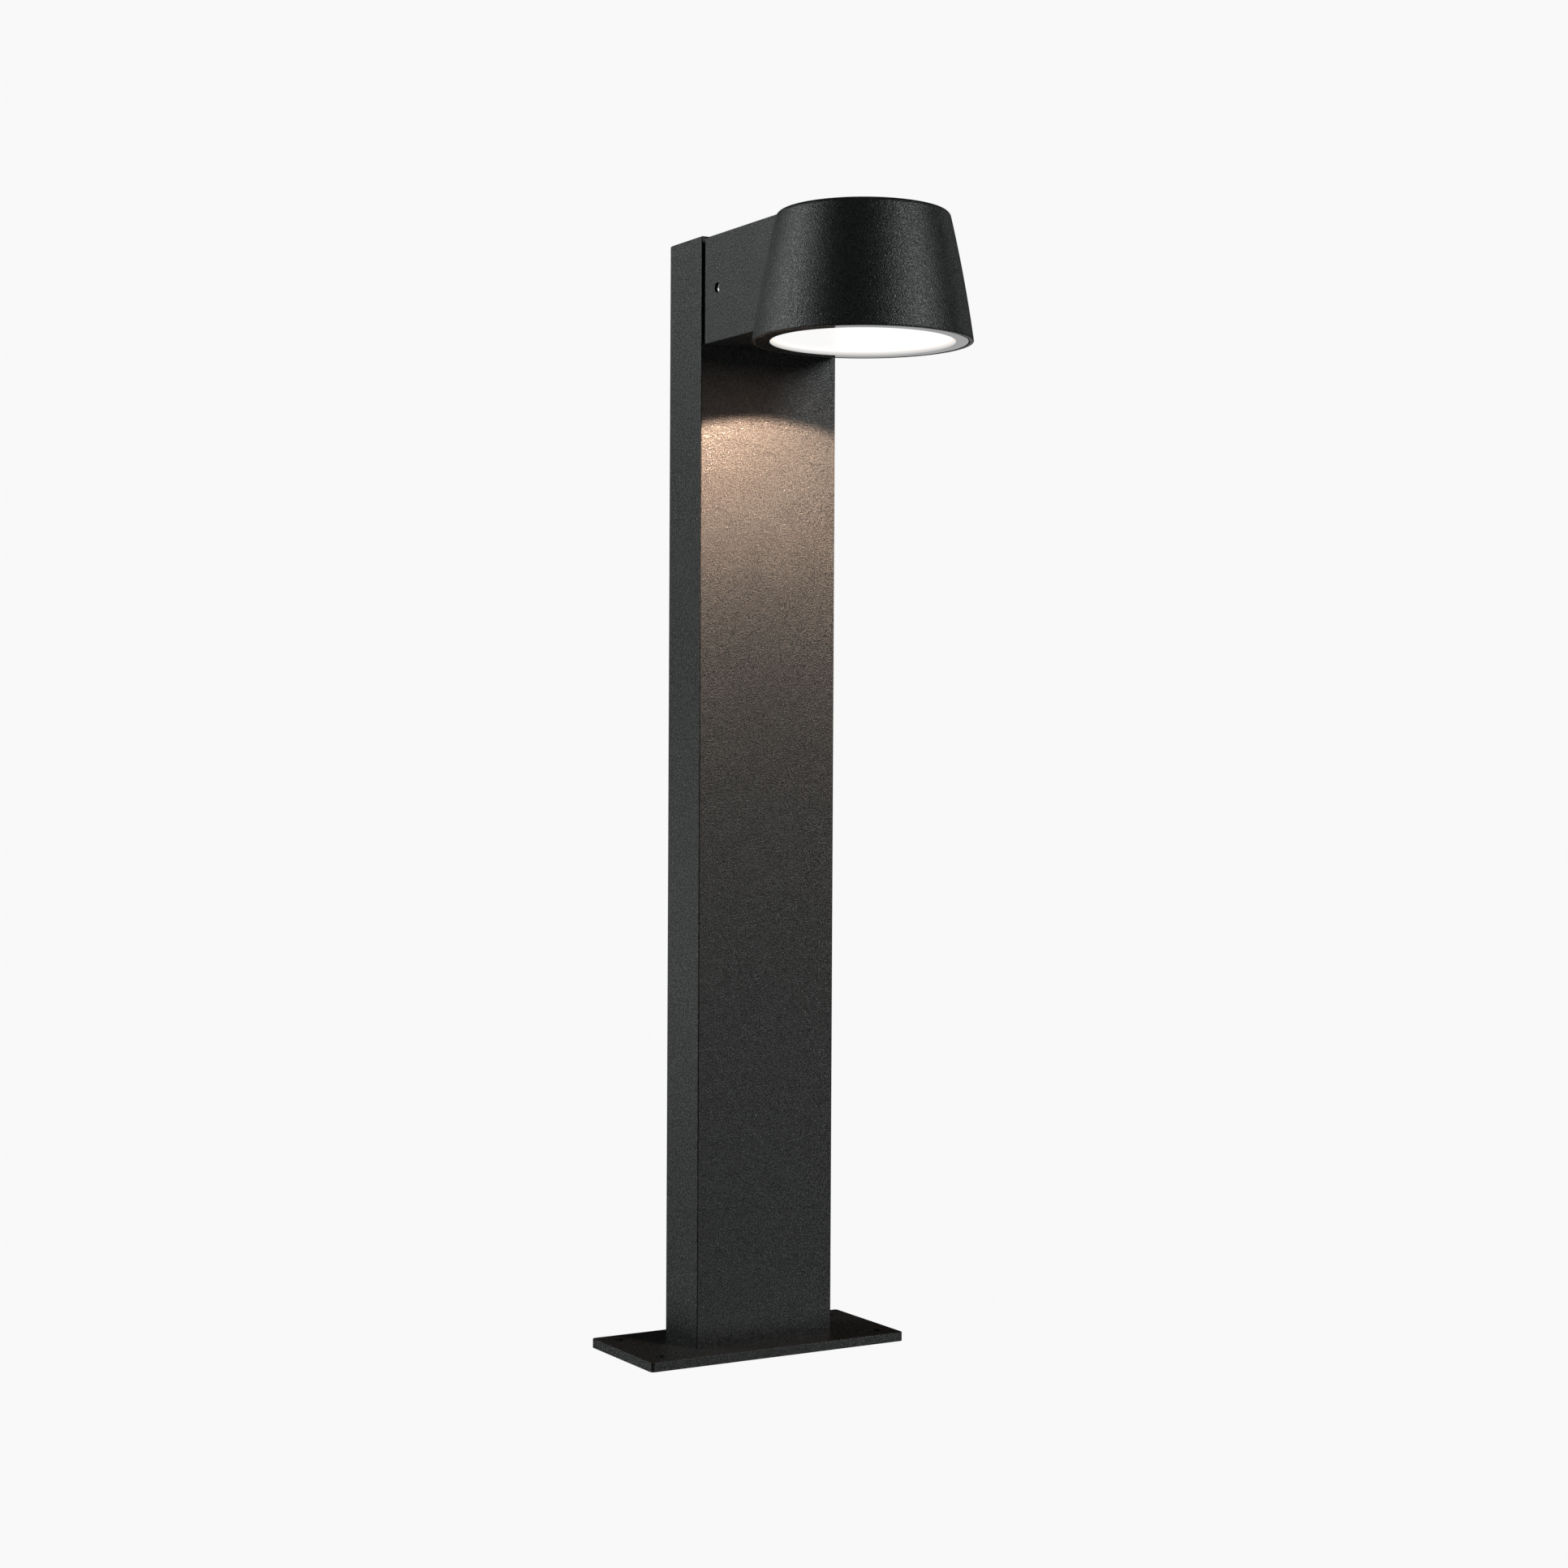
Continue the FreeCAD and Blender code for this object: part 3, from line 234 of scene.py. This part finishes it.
def shadeless(name, level):
    """Even and pale from the front, and clear from behind."""
    m = bpy.data.materials.new(name)
    m.use_nodes = True
    tree = m.node_tree
    tree.nodes.clear()
    glow = tree.nodes.new("ShaderNodeEmission")
    glow.inputs["Color"].default_value = (level, level, level, 1)
    clear = tree.nodes.new("ShaderNodeBsdfTransparent")
    side = tree.nodes.new("ShaderNodeNewGeometry")
    one_sided = tree.nodes.new("ShaderNodeMixShader")
    out = tree.nodes.new("ShaderNodeOutputMaterial")
    tree.links.new(side.outputs["Backfacing"], one_sided.inputs["Fac"])
    tree.links.new(glow.outputs[0], one_sided.inputs[1])
    tree.links.new(clear.outputs[0], one_sided.inputs[2])
    tree.links.new(one_sided.outputs[0], out.inputs["Surface"])
    return m


def camera_only(o):
    """Seen by the camera, and neither lighting nor mirrored in the object."""
    o.visible_diffuse = False
    o.visible_glossy = False
    o.visible_transmission = False
    o.visible_volume_scatter = False
    o.visible_shadow = False


def make_stage():
    """A pale floor inside a pale dome, so that every side has the same plain background."""
    bm = bmesh.new()
    bmesh.ops.create_circle(bm, cap_ends=True, segments=96, radius=STAGE_R)
    floor = mesh_object("floor", bm)
    floor.data.materials.append(shadeless("floor", PALE))
    bm = bmesh.new()
    bmesh.ops.create_icosphere(bm, subdivisions=4, radius=STAGE_R)
    bmesh.ops.reverse_faces(bm, faces=bm.faces)
    dome = mesh_object("dome", bm)
    dome.data.materials.append(shadeless("dome", PALE))
    for o in (floor, dome):
        camera_only(o)


def make_world():
    """No light from around: the softboxes and the lamp in the head do it all."""
    world = bpy.data.worlds.new("studio")
    world.use_nodes = True
    world.node_tree.nodes["Background"].inputs["Color"].default_value = (*BLACK, 1)
    bpy.context.scene.world = world


def make_bounce_card():
    """A white card on the ground behind the object, which only gloss sees."""
    bm = bmesh.new()
    bmesh.ops.create_grid(bm, x_segments=1, y_segments=1, size=1)
    for v in bm.verts:
        v.co = Vector((v.co.x * CARD_HALF_WIDTH, CARD_FRONT + (v.co.y + 1) * CARD_HALF_DEPTH, CARD_Z))
    card = mesh_object("bounce_card", bm)
    card.data.materials.append(shadeless("bounce_card", CARD_GLOW))
    card.visible_camera = False
    card.visible_diffuse = False
    card.visible_shadow = False


# ---------------------------------------------------------------- mesh helpers


def mesh_object(name, bm):
    """An object in the scene with that mesh."""
    mesh = bpy.data.meshes.new(name)
    bm.to_mesh(mesh)
    bm.free()
    return link(bpy.data.objects.new(name, mesh))


def loft(name, rings):
    """A closed skin through rings of points; a ring of one point closes an end."""
    bm = bmesh.new()
    placed = []
    for points in rings:
        placed.append([bm.verts.new(p) for p in points])
    for low, high in zip(placed, placed[1:]):
        count = max(len(low), len(high))
        for i in range(count):
            j = (i + 1) % count
            corners = [low[i % len(low)], low[j % len(low)], high[j % len(high)], high[i % len(high)]]
            bm.faces.new(list(dict.fromkeys(corners)))
    bmesh.ops.recalc_face_normals(bm, faces=bm.faces)
    return mesh_object(name, bm)


def lathe(name, profile, centre):
    """A closed solid of revolution about a vertical axis, from (radius, height) points."""
    rings = []
    for radius, height in profile:
        ring = []
        for i in range(COVER_SEGMENTS if radius > 0 else 1):
            a = 2 * math.pi * i / COVER_SEGMENTS
            ring.append(Vector((centre.x + radius * math.cos(a), centre.y + radius * math.sin(a), height)))
        rings.append(ring)
    return loft(name, rings)


# ---------------------------------------------------------------- materials
# texture scales are per metre, and colours are linear


class Paint:
    """One node material: a Principled shader and the nodes that feed it."""

    def __init__(self, name):
        self.material = bpy.data.materials.new(name)
        self.material.use_nodes = True
        self.tree = self.material.node_tree
        self.shader = self.tree.nodes["Principled BSDF"]
        self.place = self.tree.nodes.new("ShaderNodeTexCoord").outputs["Object"]

    def node(self, kind, settings=None, **inputs):
        """Adds a node, sets its settings, and links or sets its inputs by name."""
        n = self.tree.nodes.new(kind)
        for key, value in (settings or {}).items():
            setattr(n, key, value)
        for key, value in inputs.items():
            self.put(n.inputs[key.replace("_", " ")], value)
        return n

    def put(self, socket, value):
        """Links an output to the socket, or sets the socket's value."""
        if isinstance(value, bpy.types.NodeSocket):
            self.tree.links.new(value, socket)
        else:
            socket.default_value = value

    def noise(self, scale, detail=2.0, roughness=0.5, place=None):
        """Noise from 0 to 1, mostly between 0.3 and 0.7."""
        n = self.node("ShaderNodeTexNoise", Vector=place or self.place, Scale=scale)
        n.inputs["Detail"].default_value = detail
        n.inputs["Roughness"].default_value = roughness
        return n.outputs["Fac"]

    def cells(self, scale):
        """The distance from the middle of soft round cells."""
        n = self.node("ShaderNodeTexVoronoi", {"feature": "SMOOTH_F1"}, Vector=self.place, Scale=scale)
        return n.outputs["Distance"]

    def remap(self, value, low, high, to_low, to_high):
        """The value moved from one range to another, and held inside it."""
        n = self.node("ShaderNodeMapRange", Value=value, From_Min=low, From_Max=high)
        n.inputs["To Min"].default_value = to_low
        n.inputs["To Max"].default_value = to_high
        return n.outputs["Result"]

    def blend(self, share, a, b):
        """The colour between a and b."""
        n = self.tree.nodes.new("ShaderNodeMix")
        n.data_type = "RGBA"
        self.put(n.inputs[0], share)
        self.put(n.inputs[6], (*a, 1) if isinstance(a, tuple) else a)
        self.put(n.inputs[7], (*b, 1) if isinstance(b, tuple) else b)
        return n.outputs[2]

    def math(self, operation, a, b):
        n = self.tree.nodes.new("ShaderNodeMath")
        n.operation = operation
        self.put(n.inputs[0], a)
        self.put(n.inputs[1], b)
        return n.outputs[0]

    def bump(self, height, strength, distance):
        """Relief in the surface, of that depth in metres."""
        n = self.node("ShaderNodeBump", Height=height, Strength=strength, Distance=distance)
        self.put(self.shader.inputs["Normal"], n.outputs["Normal"])

    def set(self, **inputs):
        """Sets or links the shader's inputs by name."""
        for key, value in inputs.items():
            self.put(self.shader.inputs[key.replace("_", " ")], value)


def shade(colour, factor):
    """The colour made darker or lighter."""
    return tuple(min(1.0, c * factor) for c in colour)


def powder_coat():
    """Anthracite powder coat: a sandy grain in relief, colour and gloss."""
    p = Paint("powder_coat")
    base = (0.0300, 0.0310, 0.0308)
    grain = p.noise(1250, 2, 0.6)
    sand = p.noise(2400, 1, 0.5)
    pebbles = p.cells(1700)
    drift = p.noise(60, 3, 0.6)
    half_sand = p.math("MULTIPLY", sand, 0.5)
    relief = p.math("SUBTRACT", p.math("ADD", grain, half_sand), p.math("MULTIPLY", pebbles, 0.6))
    speckle = p.math("ADD", p.math("MULTIPLY", grain, 0.5), half_sand)
    tone = p.math("ADD", p.remap(speckle, 0.40, 0.60, 0.0, 0.92), p.remap(drift, 0.3, 0.7, 0.0, 0.08))
    p.set(Base_Color=p.blend(tone, shade(base, 0.10), shade(base, 2.0)))
    p.set(Roughness=p.remap(grain, 0.38, 0.62, 0.39, 0.23))
    p.set(Specular_IOR_Level=p.remap(speckle, 0.38, 0.62, 0.30, 0.72))
    p.bump(relief, 1.0, 0.23 * MM)
    return p.material


def moulded(name, colour, roughness, scale=700, relief=0.15):
    """Moulded plastic or rubber: a fine skin grain over slow changes of tone."""
    p = Paint(name)
    grain = p.noise(scale, 4, 0.6)
    drift = p.noise(scale / 12, 3, 0.6)
    tone = p.math("ADD", p.remap(grain, 0.3, 0.7, 0.0, 0.4), p.remap(drift, 0.3, 0.7, 0.0, 0.6))
    p.set(Base_Color=p.blend(tone, shade(colour, 0.82), shade(colour, 1.12)))
    p.set(Roughness=p.remap(drift, 0.3, 0.7, roughness * 0.85, roughness * 1.15))
    p.bump(grain, relief, 0.1 * MM)
    return p.material


def brushed(name, colour, roughness, stretch):
    """Metal with fine lines along the axis that the stretch leaves short."""
    p = Paint(name)
    lie = p.node("ShaderNodeMapping", Vector=p.place, Scale=stretch)
    lines = p.noise(1.0, 3, 0.6, lie.outputs[0])
    stain = p.noise(90, 3, 0.6)
    p.set(Base_Color=p.blend(stain, shade(colour, 0.86), shade(colour, 1.06)), Metallic=1.0)
    p.set(Roughness=p.remap(lines, 0.3, 0.7, roughness * 0.7, roughness * 1.4))
    p.bump(lines, 0.25, 0.05 * MM)
    return p.material


def zinc():
    """Bright zinc plating: cool spangled patches with a faint yellow bloom."""
    p = Paint("zinc_plating")
    flakes = p.node("ShaderNodeTexVoronoi", Vector=p.place, Scale=650.0)
    patch = p.node("ShaderNodeSeparateColor", Color=flakes.outputs["Color"])
    bloom = p.remap(p.noise(70, 3, 0.6), 0.45, 0.75, 0.0, 0.6)
    plate = p.blend(patch.outputs["Red"], (0.50, 0.52, 0.56), (0.66, 0.67, 0.69))
    p.set(Base_Color=p.blend(bloom, plate, (0.64, 0.62, 0.52)), Metallic=1.0)
    p.set(Roughness=p.remap(patch.outputs["Green"], 0.0, 1.0, 0.30, 0.38))
    p.bump(p.noise(900, 3, 0.6), 0.12, 0.05 * MM)
    return p.material


def foam():
    """Closed-cell foam rubber: pores of two sizes sunk in a dull skin, with painted shade darkening the
    pores.
    """
    p = Paint("foam_rubber")
    pores = p.remap(p.cells(1500), 0.05, 0.35, 0.0, 1.0)
    pinholes = p.remap(p.cells(3600), 0.05, 0.3, 0.0, 1.0)
    skin = p.math("MULTIPLY", pores, pinholes)
    # the pores' darker colour is painted shade in the sunk pores
    p.set(Base_Color=p.blend(skin, (0.001, 0.001, 0.001), (0.006, 0.006, 0.006)))
    p.set(Roughness=p.remap(skin, 0, 1, 1.0, 0.85), Specular_IOR_Level=0.2)
    p.bump(skin, 0.7, 0.2 * MM)
    return p.material


def silicone():
    """Heat-transfer pad: a woven print pressed into soft grey silicone."""
    p = Paint("grey_silicone")
    waves = []
    for axis in "XY":
        settings = {"bands_direction": axis}
        wave = p.node("ShaderNodeTexWave", settings, Vector=p.place, Scale=180.0, Distortion=0.4)
        waves.append(wave.outputs["Fac"])
    weave = p.math("MULTIPLY", *waves)
    p.set(Base_Color=p.blend(weave, (0.36, 0.37, 0.39), (0.48, 0.49, 0.51)))
    p.set(Roughness=p.remap(weave, 0, 1, 0.8, 0.6))
    p.bump(weave, 0.4, 0.1 * MM)
    return p.material


def circuit_board():
    """White solder mask, with copper tracks that show through as faint raised lines."""
    p = Paint("circuit_board")
    tracks = p.node("ShaderNodeTexBrick", Vector=p.place, Scale=110.0, Mortar_Size=0.03, Mortar_Smooth=0.4)
    raised = p.math("SUBTRACT", 1.0, tracks.outputs["Fac"])
    mottle = p.noise(600, 3, 0.6)
    mask = p.blend(mottle, (0.84, 0.84, 0.81), (0.90, 0.90, 0.88))
    p.set(Base_Color=p.blend(raised, (0.80, 0.79, 0.74), mask))
    p.set(Roughness=p.remap(mottle, 0.3, 0.7, 0.28, 0.42))
    p.bump(raised, 0.3, 0.05 * MM)
    return p.material


def phosphor():
    """The chips' yellow phosphor: powder set in clear silicone."""
    p = Paint("phosphor")
    powder = p.noise(2600, 3, 0.7)
    p.set(Base_Color=p.blend(powder, (0.86, 0.60, 0.12), (1.0, 0.84, 0.34)))
    p.set(Roughness=p.remap(powder, 0.3, 0.7, 0.35, 0.6), Coat_Weight=0.5)
    p.bump(powder, 0.2, 0.05 * MM)
    return p.material


def insulation(name, colour, stripe=None):
    """Wire insulation: extruded plastic with slow waves, and a stripe on the earth lead."""
    p = Paint(name)
    waves = p.noise(260, 2, 0.5)
    jacket = p.blend(waves, shade(colour, 0.85), shade(colour, 1.12))
    if stripe:
        bands = p.node("ShaderNodeTexWave", {"bands_direction": "DIAGONAL"}, Vector=p.place, Scale=70.0)
        half = p.remap(bands.outputs["Fac"], 0.48, 0.52, 0.0, 1.0)
        jacket = p.blend(half, jacket, stripe)
    p.set(Base_Color=jacket, Roughness=p.remap(waves, 0.3, 0.7, 0.38, 0.52))
    p.bump(waves, 0.2, 0.1 * MM)
    return p.material


def opal():
    """The lit window: an even white that turns warm and dim along its edge."""
    p = Paint("opal_window")
    offset = p.node("ShaderNodeVectorMath", {"operation": "SUBTRACT"})
    p.put(offset.inputs[0], p.place)
    offset.inputs[1].default_value = HEAD_AXIS
    flat = p.node("ShaderNodeVectorMath", {"operation": "MULTIPLY"})
    p.put(flat.inputs[0], offset.outputs[0])
    flat.inputs[1].default_value = (1, 1, 0)
    radius = p.node("ShaderNodeVectorMath", {"operation": "LENGTH"})
    p.put(radius.inputs[0], flat.outputs[0])
    edge = p.remap(radius.outputs["Value"], WINDOW_R - WARM_EDGE, WINDOW_R, 0.0, 1.0)
    cloud = p.remap(p.noise(40, 2, 0.5), 0.3, 0.7, 0.0, 0.03)
    share = p.math("MAXIMUM", p.math("POWER", edge, 2.0), cloud)
    p.set(Base_Color=(0.05, 0.05, 0.05, 1), Roughness=0.35, Specular_IOR_Level=0.1)
    p.set(Emission_Color=p.blend(share, (0.935, 0.935, 0.93), (0.80, 0.56, 0.38)))
    p.set(Emission_Strength=1.0)
    return p.material


def opal_wall():
    """The step around the window, which glows less and warmer towards its lip."""
    p = Paint("opal_wall")
    parts = p.node("ShaderNodeSeparateXYZ", Vector=p.place)
    lip = p.remap(parts.outputs["Z"], cover_low.z, cover_low.z + WINDOW_DEPTH, 1.0, 0.0)
    grain = p.noise(500, 2, 0.5)
    p.set(Base_Color=(0.05, 0.05, 0.05, 1), Roughness=p.remap(grain, 0.3, 0.7, 0.4, 0.6))
    p.set(Emission_Color=p.blend(lip, (0.88, 0.88, 0.875), (0.48, 0.475, 0.465)))
    p.set(Emission_Strength=1.0)
    return p.material


def black_glass():
    """The cover's black border: smooth and glossy."""
    p = Paint("black_border")
    smear = p.noise(60, 3, 0.6)
    p.set(Base_Color=(0.004, 0.004, 0.004, 1), IOR=1.5)
    p.set(Roughness=p.remap(smear, 0.3, 0.7, 0.03, 0.07))
    return p.material


COAT = powder_coat()
SLOT_MATERIALS = {
    "anthracite_coat": COAT,
    "coated_steel": COAT,
    "stainless_steel": brushed("stainless", (0.62, 0.61, 0.59), 0.34, (400, 2600, 2600)),
    "zinc_plated_steel": zinc(),
    "black_rubber": moulded("black_rubber", (0.015, 0.015, 0.015), 0.7, 900, 0.3),
    "foam_rubber": foam(),
    "bare_aluminium": brushed("rolled_aluminium", (0.72, 0.73, 0.74), 0.32, (1800, 60, 1800)),
    "grey_silicone": silicone(),
    "white_board": circuit_board(),
    "phosphor": phosphor(),
    "white_plastic": moulded("white_plastic", (0.88, 0.88, 0.86), 0.45, 500),
    "opal_cover": opal(),
    "driver_plastic": moulded("driver_plastic", (0.04, 0.04, 0.045), 0.5, 420, 0.4),
    "terminal_plastic": moulded("terminal_plastic", (0.80, 0.78, 0.72), 0.4, 800),
    "brass_insert": brushed("brass", (0.78, 0.60, 0.30), 0.28, (300, 2200, 2200)),
    "tinned_brass": brushed("tinned_brass", (0.72, 0.71, 0.68), 0.32, (2000, 300, 2000)),
    "brown_insulation": insulation("brown_insulation", (0.22, 0.10, 0.04)),
    "blue_insulation": insulation("blue_insulation", (0.05, 0.15, 0.50)),
    "green_yellow_insulation": insulation("green_yellow_insulation", (0.09, 0.36, 0.08), (0.85, 0.72, 0.05)),
    "red_insulation": insulation("red_insulation", (0.60, 0.04, 0.03)),
    "black_insulation": insulation("black_insulation", (0.03, 0.03, 0.03)),
}


def finish_nodes():
    """Every CAD node takes the material of its slot in the record."""
    for row in frame["record"]["subparts"]:
        o = frame["nodes"][row["node"]]
        o.data.materials.clear()
        o.data.materials.append(SLOT_MATERIALS[row["material_slot"]])


def make_cover():
    """The opal cover with its black border, a lathe-turned disc with a sunk window."""
    low = cover_low.z
    high = cover_high.z
    edge = COVER_EDGE_R
    face = low + WINDOW_DEPTH
    profile = [(0, face)]
    for share in (0.25, 0.5, 0.75, 0.9, 1.0):
        profile.append((WINDOW_R * share, face))
    profile.append((WINDOW_R, low))
    turns = [math.radians(a) for a in range(0, 91, 15)]
    for t in turns:
        profile.append((COVER_R - edge + edge * math.sin(t), low + edge - edge * math.cos(t)))
    for t in reversed(turns):
        profile.append((COVER_R - edge + edge * math.sin(t), high - edge + edge * math.cos(t)))
    profile.append((0, high))
    cover = lathe("opal_cover", profile, HEAD_AXIS)
    for material in (SLOT_MATERIALS["opal_cover"], black_glass(), opal_wall()):
        cover.data.materials.append(material)
    for polygon in cover.data.polygons:
        middle = Vector(polygon.center) - HEAD_AXIS
        steep = abs(polygon.normal.z) < 0.5
        if math.hypot(middle.x, middle.y) > WINDOW_R:
            polygon.material_index = 1
        elif steep:
            polygon.material_index = 2
        polygon.use_smooth = abs(polygon.normal.z) < 0.999
    cover.visible_shadow = False
    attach(cover, "lamp_unit")
    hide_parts("front_cover")


def hexagon_radius(across_flats, angle):
    """From a hexagon's middle to its edge, in that direction."""
    return across_flats / 2 / math.cos(angle % (math.pi / 3) - math.pi / 6)


def make_set_screw(node):
    """A threaded grub screw with a hexagon socket and a cup point, in the CAD screw's place."""
    low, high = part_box(node)
    side = 1 if low.x > 0 else -1
    length = high.x - low.x
    radius = (high.z - low.z) / 2
    tip = Vector((low.x if side > 0 else high.x, (low.y + high.y) / 2, (low.z + high.z) / 2))

    def ring(distance, radius_at):
        """A ring of points at that distance from the screw's tip."""
        points = []
        for i in range(SCREW_SEGMENTS):
            a = 2 * math.pi * i / SCREW_SEGMENTS
            r = radius_at(a)
            points.append(tip + Vector((side * distance, r * math.cos(a), r * math.sin(a))))
        return points

    def thread(distance):
        """The thread's radius at each angle of that ring, cut off by the ends' chamfers."""
        limit = radius - max(0, SCREW_CHAMFER - min(distance, length - distance))

        def radius_at(a):
            phase = (distance / PITCH - a / (2 * math.pi)) % 1
            return min(limit, radius - THREAD_DEPTH * abs(2 * phase - 1))

        return radius_at

    end_r = radius - SCREW_CHAMFER
    floor = length - SOCKET_DEPTH
    rings = [[tip + Vector((side * CUP_DEPTH, 0, 0))], ring(0, lambda a: POINT_SHARE * radius)]
    rings.append(ring(0, lambda a: end_r))
    steps = round(length / PITCH * RINGS_PER_PITCH)
    for step in range(1, steps):
        distance = length * step / steps
        rings.append(ring(distance, thread(distance)))
    rings.append(ring(length, lambda a: end_r))
    rings.append(ring(length - SOCKET_DISH, lambda a: hexagon_radius(SOCKET_WIDTH, a)))
    rings.append(ring(floor, lambda a: hexagon_radius(SOCKET_WIDTH, a)))
    rings.append([tip + Vector((side * (floor - CUP_DEPTH), 0, 0))])
    screw = loft(node.replace("_screw", "_grub_screw"), rings)
    screw.data.materials.append(SLOT_MATERIALS["stainless_steel"])
    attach(screw, node)
    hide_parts(node)


bpy.context.scene.view_settings.view_transform = "Standard"
make_camera()
make_stage()
make_world()
make_bounce_card()
for name, values in SOFTBOXES.items():
    make_softbox(name, *values)
make_led_lamp()
make_window_glow()
finish_nodes()
make_cover()
for node in ("left_set_screw", "right_set_screw"):
    make_set_screw(node)
